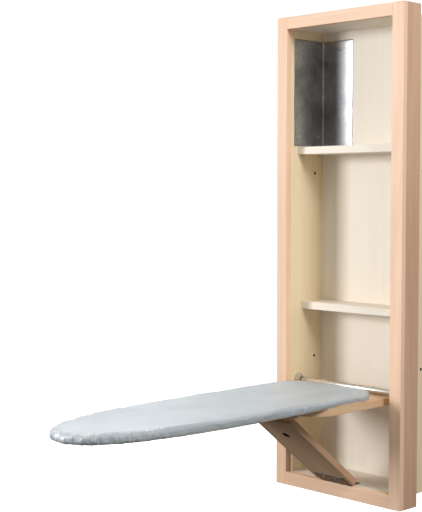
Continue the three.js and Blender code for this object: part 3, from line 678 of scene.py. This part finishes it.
# ---------- Padded board ----------
class BoardOutline:
    """The cover's outline seen from above: points evenly spaced along it, the same on both sides.

    Straight sides with a rounded heel, and half a superellipse for the nose.
    """

    TAPER_START = 0.45
    NOSE_POWER = 2.4
    HEEL_RADIUS = 95 * MM

    def __init__(self, half_count):
        low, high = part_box("board_cover")
        self.half = (high.x - low.x) / 2
        self.tip, self.heel = low.y, high.y
        self.taper = self.heel - (self.heel - self.tip) * self.TAPER_START
        rough = self.right_side(900)
        steps = np.linalg.norm(np.diff(rough, axis=0), axis=1)
        run = np.concatenate([[0.0], np.cumsum(steps)])
        wanted = np.linspace(0, run[-1], half_count + 1)
        right = np.stack([np.interp(wanted, run, rough[:, k]) for k in (0, 1)], axis=1)
        left = right[-2:0:-1] * (-1, 1)
        self.points = np.vstack([right, left])
        self.length = 2 * run[-1]
        self.run = np.arange(len(self.points)) * self.length / len(self.points)
        ahead = np.roll(self.points, -1, axis=0) - np.roll(self.points, 1, axis=0)
        tangent = ahead / np.linalg.norm(ahead, axis=1)[:, None]
        self.inward = np.stack([-tangent[:, 1], tangent[:, 0]], axis=1)

    def right_side(self, steps):
        """From the middle of the tip, along the right side, to the middle of the heel."""
        points = []
        for i in range(steps + 1):
            angle = math.pi / 2 * i / steps
            x = self.half * math.sin(angle) ** (2 / self.NOSE_POWER)
            y = self.taper + (self.tip - self.taper) * math.cos(angle) ** (2 / self.NOSE_POWER)
            points.append((x, y))
        centre = (self.half - self.HEEL_RADIUS, self.heel - self.HEEL_RADIUS)
        for i in range(steps // 6 + 1):
            angle = math.pi / 2 * i / (steps // 6)
            points.append((centre[0] + self.HEEL_RADIUS * math.cos(angle),
                           centre[1] + self.HEEL_RADIUS * math.sin(angle)))
        points.append((0.0, self.heel))
        return np.array(points)

    def spine(self):
        """The point of the board's middle line that each point of the outline faces."""
        reach = 0.8 * self.half
        y = np.clip(self.points[:, 1], self.tip + reach, self.heel - reach)
        return np.column_stack([np.zeros(len(y)), y])


def smooth_step(low, high, value):
    share = np.clip((value - low) / (high - low), 0, 1)
    return share * share * (3 - 2 * share)


def smooth_noise(values, scale, seed):
    """One-dimensional noise in -1..1 sampled at many places."""
    return np.array([noise.noise(Vector((v * scale, seed, 0.37 * seed))) for v in values])


class Gathers:
    """Irregular pleats of the elastic hem: rounded ridges with narrow valleys between them."""

    def __init__(self, outline):
        draws = random.Random(SEED)
        edges = [0.0]
        while edges[-1] < outline.length:
            edges.append(edges[-1] + (6 + 18 * draws.random() ** 1.6) * MM)
        edges = np.array(edges) * outline.length / edges[-1]
        self.length = outline.length
        self.edges = edges
        self.sizes = np.array([0.15 + 0.95 * draws.random() for _ in edges])
        self.sizes[-1] = self.sizes[0]

    def __call__(self, run):
        run = np.mod(run, self.length)
        phase = np.interp(run, self.edges, np.arange(len(self.edges)))
        size = np.interp(phase, np.arange(len(self.edges)), self.sizes)
        return np.abs(np.sin(np.pi * phase)) ** 0.6 * size


# Rows of the cover's grid on the top, round the edge, down the wall, round under it and on the hem.
TOP_ROWS, EDGE_ROWS, WALL_ROWS, UNDER_ROWS, HEM_ROWS = 34, 12, 4, 12, 7
# How much of the way down, from the top's border to the hem's end, each of the last four takes.
EDGE_SHARE, WALL_SHARE, UNDER_SHARE, HEM_SHARE = 0.4, 0.15, 0.35, 0.1
PLATE_CORNER = 110 * MM
# The gathers are strongest up to this far behind the tip, and have faded out by the second distance.
NOSE_START, NOSE_END = 90 * MM, 420 * MM
# Distances from the rod along Y between which the diagonal creases of the rear sides fade in and out.
CREASES_IN, CREASES_OUT = (-560 * MM, -430 * MM), (-120 * MM, -70 * MM)
# The hem tucks under by TUCK. It changes from lying on the plate to hanging free within HEM_CHANGE.
TUCK, HEM_CHANGE = 15 * MM, 55 * MM
# The hem ends this far above the core's underside where the board lies on its plate, and elsewhere below it.
HEM_ABOVE_CORE, HEM_BELOW_CORE = 0.6 * MM, 1.6 * MM
# Pleats and creases push the cover out freely but hardly inwards, and never further in than this.
PUSH_IN = 0.8 * MM


def cover_surface():
    """Rows of points from the middle of the top, over the edge, down the wall and under the board."""
    outline = BoardOutline(450)
    low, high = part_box("board_cover")
    core_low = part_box("board_core")[0].z
    plate_low, plate_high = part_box("mounting_plate")
    top, bottom = high.z, low.z
    points, inward, run = outline.points, outline.inward, outline.run
    x, y = points[:, 0], points[:, 1]
    # How far each point of the outline is outside the mounting plate; the hem tucks under only there.
    past_side = np.abs(x) - (plate_high.x - PLATE_CORNER)
    past_front = plate_low.y + PLATE_CORNER - y
    straight = np.maximum(past_side, past_front) - PLATE_CORNER
    rounded = np.hypot(past_side, past_front) - PLATE_CORNER
    room = np.where((past_side > 0) & (past_front > 0), rounded, straight) - 3 * MM
    tuck = np.clip(room, 0.0, TUCK)
    free = smooth_step(0.0, HEM_CHANGE, room)
    hem_low = core_low + HEM_ABOVE_CORE + (bottom - core_low - HEM_ABOVE_CORE) * free
    # Where the gathers are strong: round the tip, and in patches along the sides.
    nose = smooth_step(outline.tip + NOSE_END, outline.tip + NOSE_START, y)
    from_rod = y - ROD_AXIS.y
    rear_side = smooth_step(*CREASES_IN, from_rod) * (1 - smooth_step(*CREASES_OUT, from_rod))
    patches = smooth_step(-0.05, 0.35, smooth_noise(run, 9.0, 2.3))
    pleat_size = (0.2 + 4.6 * nose + 0.9 * patches * (1 - nose) + 2.4 * rear_side) * MM
    crease_size = (0.5 * patches + 4.6 * rear_side * np.where(x > 0, 1.0, 0.7) + 0.3 + 1.2 * nose) * MM
    gathers = Gathers(outline)
    lean = (smooth_noise(run, 14.0, 5.1) * 14 + rear_side * 16) * MM
    long_folds = smooth_noise(run, 38.0, 8.2)
    edge_round, edge_drop = 13 * MM, 11 * MM
    under_round, under_rise = 7 * MM, 10 * MM
    rows = []
    # Top: straight lines from the board's middle to the start of the rounded edge.
    spine = outline.spine()
    border = points + inward * edge_round
    for i in range(TOP_ROWS):
        share = (i / TOP_ROWS) ** 0.8
        flat = spine * (1 - share) + border * share
        near_edge = smooth_step(0.72, 1.0, share)
        sag = np.array([noise.noise(Vector((px * 5.5, py * 3.0, 0.5))) for px, py in flat]) * 0.5 * MM
        creases = np.array([noise.noise(Vector((px * 26 + py * 14, py * 4 - px * 9, 4.2)))
                            for px, py in flat])
        height = top - 1.0 * MM * share ** 2 + sag - 0.4 * MM
        height = height + creases * 0.28 * MM * (0.35 + near_edge)
        height = height + near_edge ** 2 * (long_folds * 0.35 * crease_size)
        rows.append(np.column_stack([flat, height]))
    # Rounded edge, short wall, round under the edge and the tucked hem, as (inset, height, share down).
    wall_top = top - 1.4 * MM - edge_drop
    wall_low = np.minimum(hem_low + under_rise, wall_top - 1 * MM)
    sections = []
    for i in range(EDGE_ROWS):
        angle = math.radians(90 * i / (EDGE_ROWS - 1))
        inset = edge_round * (1 - math.sin(angle)) + 0 * x
        height = wall_top + edge_drop * math.cos(angle) + 0 * x
        sections.append((inset, height, EDGE_SHARE * i / (EDGE_ROWS - 1)))
    for i in range(1, WALL_ROWS + 1):
        height = wall_top + (wall_low - wall_top) * i / WALL_ROWS
        sections.append((0 * x, height, EDGE_SHARE + WALL_SHARE * i / WALL_ROWS))
    for i in range(1, UNDER_ROWS + 1):
        angle = math.radians(90 * i / UNDER_ROWS)
        inset = under_round * (1 - math.cos(angle)) + 0 * x
        height = wall_low + (hem_low - wall_low) * math.sin(angle)
        sections.append((inset, height, EDGE_SHARE + WALL_SHARE + UNDER_SHARE * i / UNDER_ROWS))
    for i in range(1, HEM_ROWS + 1):
        share = i / HEM_ROWS
        inset = under_round + np.maximum(tuck - under_round, 0) * share * free
        height = hem_low + (core_low - HEM_BELOW_CORE - hem_low) * share * free
        sections.append((inset, height, 1 - HEM_SHARE + HEM_SHARE * share))
    for inset, height, down in sections:
        pleat = gathers(run + lean * (down - 0.5)) * pleat_size
        slant = lean * 2 * (down - 0.5)
        crease = smooth_noise(run + slant, 38.0, 8.2) * 0.6 + smooth_noise(run + slant, 95.0, 3.9) * 0.45
        crease = crease * crease_size
        grow = smooth_step(0.1, 0.55, down)
        crease_grow = smooth_step(0.0, 0.45, down) * (1 - 0.55 * smooth_step(0.75, 1.0, down))
        push = pleat * grow + crease * crease_grow - 0.5 * MM
        push = np.where(push < 0, PUSH_IN * np.tanh(push / PUSH_IN), push)
        outward_share = 1 - 0.5 * smooth_step(0.75, 0.95, down)
        flat = points + inward * (inset - push * outward_share * np.maximum(free, 0.55))[:, None]
        drop = push * (1 - outward_share) * free * 0.8
        rows.append(np.column_stack([flat, height - np.maximum(drop, -1.2 * MM)]))
    return np.array(rows)


CLOTH_FRAMES = 14
CLOTH_SETTINGS = {
    "quality": 6, "mass": 0.15, "tension_stiffness": 12, "compression_stiffness": 12, "shear_stiffness": 4,
    "bending_stiffness": 0.01, "vertex_group_shrink": "slack", "shrink_min": -0.04, "shrink_max": -0.18,
    "use_pressure": True, "uniform_pressure_force": 1.0,
}
# The simulation leaves out these rows of the top, and the hem's rows, which coincide where the board lies on
# its plate: cloth can't have edges of no length. A few rows are held at each border of what is left.
FLAT_ROWS, HELD_ROWS = 28, 3
# The farthest that a point moves along the sides, how much more at the tip, and level inwards anywhere.
SIDE_MOVE, EXTRA_NOSE_MOVE, INWARD_MOVE = 0.9 * MM, 2.6 * MM, 0.6 * MM


def simulated(strip, nose):
    """A closed strip of rows after a short cloth simulation with air pressure from inside.

    Its border rows are held, and it has the more slack the nearer a column is to the tip.
    """
    count, columns = strip.shape[:2]
    faces = grid_faces(count, columns, closed_columns=True)
    piece = add_mesh("cover_edge_cloth", strip.reshape(-1, 3), faces)
    wall_face = piece.data.polygons[columns * (count // 2)]
    if np.dot(wall_face.normal, outward_of(strip)[0]) < 0:
        piece.data.flip_normals()
    held = piece.vertex_groups.new(name="held")
    inner_rows = list(range(HELD_ROWS * columns))
    lower_rows = list(range((count - HELD_ROWS) * columns, count * columns))
    held.add(inner_rows + lower_rows, 1.0, "REPLACE")
    slack = piece.vertex_groups.new(name="slack")
    for column in range(columns):
        slack.add(list(range(column, count * columns, columns)), float(nose[column]), "REPLACE")
    cloth = piece.modifiers.new("cloth", "CLOTH")
    cloth.settings.vertex_group_mass = "held"
    for key, value in CLOTH_SETTINGS.items():
        setattr(cloth.settings, key, value)
    cloth.settings.effector_weights.gravity = 0
    cloth.point_cache.frame_start = 1
    cloth.point_cache.frame_end = CLOTH_FRAMES
    scene = bpy.context.scene
    for step in range(1, CLOTH_FRAMES + 1):
        scene.frame_set(step)
    shaped = piece.evaluated_get(bpy.context.evaluated_depsgraph_get())
    moved = np.empty(count * columns * 3)
    shaped.data.vertices.foreach_get("co", moved)
    scene.frame_set(1)
    bpy.data.objects.remove(piece)
    return moved.reshape(strip.shape)


def outward_of(strip):
    """Level unit directions, one for each column, from the strip's inner border to its wall."""
    outward = strip[strip.shape[0] // 2] - strip[0]
    outward[:, 2] = 0
    return outward / np.linalg.norm(outward, axis=1)[:, None]


def settled(rows):
    """The cover with its edge, between the flat top and the hem, moved as cloth moves.

    How far a point may move is capped, more tightly inwards, and the cloth stays above the hem. Downward
    moves have no cap of their own, so the cover can dip through the pad where the two are close.
    """
    strip = rows[FLAT_ROWS:-HEM_ROWS]
    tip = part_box("board_cover")[0].y
    nose = smooth_step(tip + NOSE_END, tip + NOSE_START, strip[0, :, 1])
    shift = simulated(strip, nose) - strip
    length = np.maximum(np.linalg.norm(shift, axis=2, keepdims=True), 1e-9)
    reach = (SIDE_MOVE + EXTRA_NOSE_MOVE * nose)[None, :, None]
    shift *= reach * np.tanh(length / reach) / length
    outward = outward_of(strip)
    along = (shift * outward).sum(axis=2, keepdims=True)
    shift += (np.maximum(along, -INWARD_MOVE) - along) * outward
    settled_strip = strip + shift
    settled_strip[:, :, 2] = np.maximum(settled_strip[:, :, 2], strip[:, :, 2].min(axis=0))
    return np.vstack([rows[:FLAT_ROWS], settled_strip, rows[-HEM_ROWS:]])


def add_cover():
    rows = cover_surface()
    rows = settled(rows)
    count, columns = rows.shape[:2]
    piece = add_mesh("ironing_cover", rows.reshape(-1, 3), grid_faces(count, columns, closed_columns=True))
    face_outwards(piece, FABRIC_MERGE)
    solidify = piece.modifiers.new("fabric", "SOLIDIFY")
    solidify.thickness = 0.7 * MM
    solidify.offset = -1
    stand_in(piece, CLOTH, "silver_cloth", "board_cover")


def add_pad():
    low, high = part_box("ironing_pad")
    outline = BoardOutline(210)
    inside_cover = 2.6 * MM
    points = outline.points + outline.inward * inside_cover
    spine = outline.spine()
    rows = []
    # The upper and the lower face, as its side, its level, and how wide and tall its rounded edge is.
    for face, level, wide, tall in ((1, high.z - 0.9 * MM, 12.5 * MM, 5.2 * MM),
                                    (-1, low.z, 3 * MM, 0.8 * MM)):
        ring = []
        for i in range(14):
            share = i / 14
            flat = spine * (1 - share) + (points + outline.inward * wide) * share
            lumps = np.array([noise.noise(Vector((px * 40, py * 40, face))) for px, py in flat]) * 0.2 * MM
            ring.append(np.column_stack([flat, level + lumps * (face > 0)]))
        for i in range(7):
            angle = math.radians(90 * i / 6)
            flat = points + outline.inward * wide * (1 - math.sin(angle))
            height = level - face * tall * (1 - math.cos(angle))
            ring.append(np.column_stack([flat, np.full(len(flat), height)]))
        rows.extend(ring if face > 0 else ring[::-1])
    rows = np.array(rows)
    piece = add_mesh("felt_pad", rows.reshape(-1, 3), grid_faces(*rows.shape[:2], closed_columns=True))
    face_outwards(piece, FABRIC_MERGE)
    stand_in(piece, FELT, "foam", "ironing_pad")


# ---------- Studio ----------
CAMERA_PLACE = (2.453, -3.105, 0.206)
CAMERA_YAW = 46.12
CAMERA_PITCH = 3.12
CAMERA_LENS = 83.24
TO_CAMERA = Vector(CAMERA_PLACE).normalized()
# Light from below and from above, and the share of it that mirrors see in the direction of the camera.
DOME_LOW, DOME_HIGH = 0.13, 0.52
BEHIND_CAMERA = 0.8
BACKDROP = 1.15
# The cabinet hangs on a wall, so the floor is this far below it.
FLOOR_DROP, FLOOR_HALF = 0.55, 30


def add_floor():
    height = CAD_BOUNDS[0].z - FLOOR_DROP
    corners = [(x * FLOOR_HALF, y * FLOOR_HALF, height) for x, y in ((-1, -1), (1, -1), (1, 1), (-1, 1))]
    floor = add_mesh("studio_floor", corners, [(0, 1, 2, 3)])
    paint = Paint("pale_floor")
    specks = paint.noise(paint.place(), 40.0, detail=3.0)
    colour = paint.mix(paint.span(specks, 0.3, 0.7), srgb(250, 250, 249), srgb(247, 247, 246))
    paint.set(Base_Color=colour, Roughness=0.8, Emission_Color=(1.0, 1.0, 1.0, 1.0), Emission_Strength=1.0)
    floor.data.materials.append(paint.material)
    floor.visible_diffuse = False
    floor.visible_glossy = False


def add_world():
    """White to the camera. The object sees a soft dome, dimmer from below and, in mirrors, at the camera."""
    world = bpy.data.worlds.new("studio")
    world.use_nodes = True
    bpy.context.scene.world = world
    tree = world.node_tree
    nodes, links = tree.nodes, tree.links
    nodes.clear()
    output = nodes.new("ShaderNodeOutputWorld")
    path = nodes.new("ShaderNodeLightPath")
    coordinates = nodes.new("ShaderNodeTexCoord")
    backdrop = nodes.new("ShaderNodeBackground")
    backdrop.inputs["Color"].default_value = (1.0, 1.0, 1.0, 1.0)
    backdrop.inputs["Strength"].default_value = BACKDROP
    dome = nodes.new("ShaderNodeBackground")
    dome.inputs["Color"].default_value = (1.0, 0.95, 0.88, 1.0)

    def direction_share(direction, low, high, to_low, to_high):
        dot = nodes.new("ShaderNodeVectorMath")
        dot.operation = "DOT_PRODUCT"
        links.new(coordinates.outputs["Generated"], dot.inputs[0])
        dot.inputs[1].default_value = direction
        span = nodes.new("ShaderNodeMapRange")
        span.interpolation_type = "SMOOTHSTEP"
        links.new(dot.outputs["Value"], span.inputs["Value"])
        for name, value in (("From Min", low), ("From Max", high), ("To Min", to_low), ("To Max", to_high)):
            span.inputs[name].default_value = value
        return span.outputs[0]

    height = direction_share((0, 0, 1), -0.5, 0.7, DOME_LOW, DOME_HIGH)
    behind = direction_share(tuple(TO_CAMERA), 0.35, 0.95, 1.0, BEHIND_CAMERA)
    glossy_only = nodes.new("ShaderNodeMix")
    glossy_only.inputs["A"].default_value = 1.0
    links.new(path.outputs["Is Glossy Ray"], glossy_only.inputs["Factor"])
    links.new(behind, glossy_only.inputs["B"])
    strength = nodes.new("ShaderNodeMath")
    strength.operation = "MULTIPLY"
    links.new(height, strength.inputs[0])
    links.new(glossy_only.outputs["Result"], strength.inputs[1])
    links.new(strength.outputs[0], dome.inputs["Strength"])
    choose = nodes.new("ShaderNodeMixShader")
    links.new(path.outputs["Is Camera Ray"], choose.inputs[0])
    links.new(dome.outputs[0], choose.inputs[1])
    links.new(backdrop.outputs[0], choose.inputs[2])
    links.new(choose.outputs[0], output.inputs["Surface"])


def add_softbox(name, location, target, size, power, glossy=True):
    data = bpy.data.lights.new(name, "AREA")
    data.shape = "RECTANGLE"
    data.size, data.size_y = size
    data.energy = power
    light = bpy.data.objects.new(name, data)
    light.visible_glossy = glossy
    light.location = location
    light.rotation_euler = (Vector(target) - Vector(location)).to_track_quat("-Z", "Y").to_euler()
    bpy.context.scene.collection.objects.link(light)


def add_camera():
    data = bpy.data.cameras.new("camera")
    data.lens = CAMERA_LENS
    data.sensor_width = 36
    camera = bpy.data.objects.new("camera", data)
    camera.location = CAMERA_PLACE
    camera.rotation_euler = (math.radians(90 - CAMERA_PITCH), 0, math.radians(CAMERA_YAW))
    bpy.context.scene.collection.objects.link(camera)
    bpy.context.scene.camera = camera


def add_studio():
    add_floor()
    add_world()
    add_softbox("key", (-2.3, -4.5, 0.9), target=(0, -0.1, 0.0), size=(1.4, 1.4), power=160)
    add_softbox("fill", (2.8, -1.0, 2.0), target=(0.2, -0.1, 0.2), size=(0.9, 1.2), power=76, glossy=False)
    add_softbox("rim", (-3.2, 1.0, 1.6), target=(0, -0.6, -0.4), size=(2.2, 1.6), power=30)
    add_camera()
    bpy.context.scene.view_settings.view_transform = "Standard"


dress_woods()
add_screws()
add_tube()
add_sockets()
add_shelf_pins()
add_hinge()
add_iron_rest()
add_pad()
add_cover()
add_studio()
